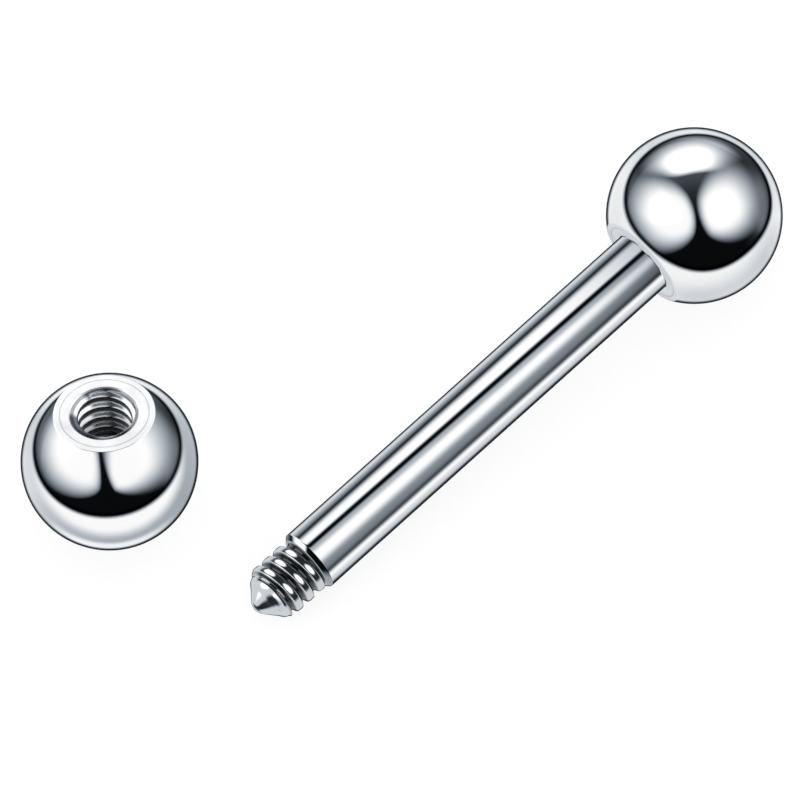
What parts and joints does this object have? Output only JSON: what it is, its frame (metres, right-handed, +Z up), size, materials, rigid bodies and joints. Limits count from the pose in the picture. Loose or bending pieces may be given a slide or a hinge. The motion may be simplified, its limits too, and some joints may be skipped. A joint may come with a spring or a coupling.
{
  "type": "tongue barbell",
  "caption": "Straight polished steel tongue barbell lying down, one ball fixed on the bar and the threaded ball unscrewed and lying beside it.",
  "frame": {"origin": "on the surface that the barbell lies on, under the middle of the two balls and of the whole part's box", "axes": "+X along the bar in plan, from the thread to the fixed ball; +Y across, toward the loose ball; +Z up"},
  "size_m": [0.0224, 0.0106, 0.005],
  "materials": {
    "bar_steel": "mirror-polished 316L stainless steel",
    "ball_steel": "mirror-polished 316L stainless steel, with turned flats and a tapped bore"
  },
  "bodies": {
    "root": {"bar": "bar_steel", "fixed_ball": "ball_steel", "loose_ball": "ball_steel"}
  },
  "joints": []
}
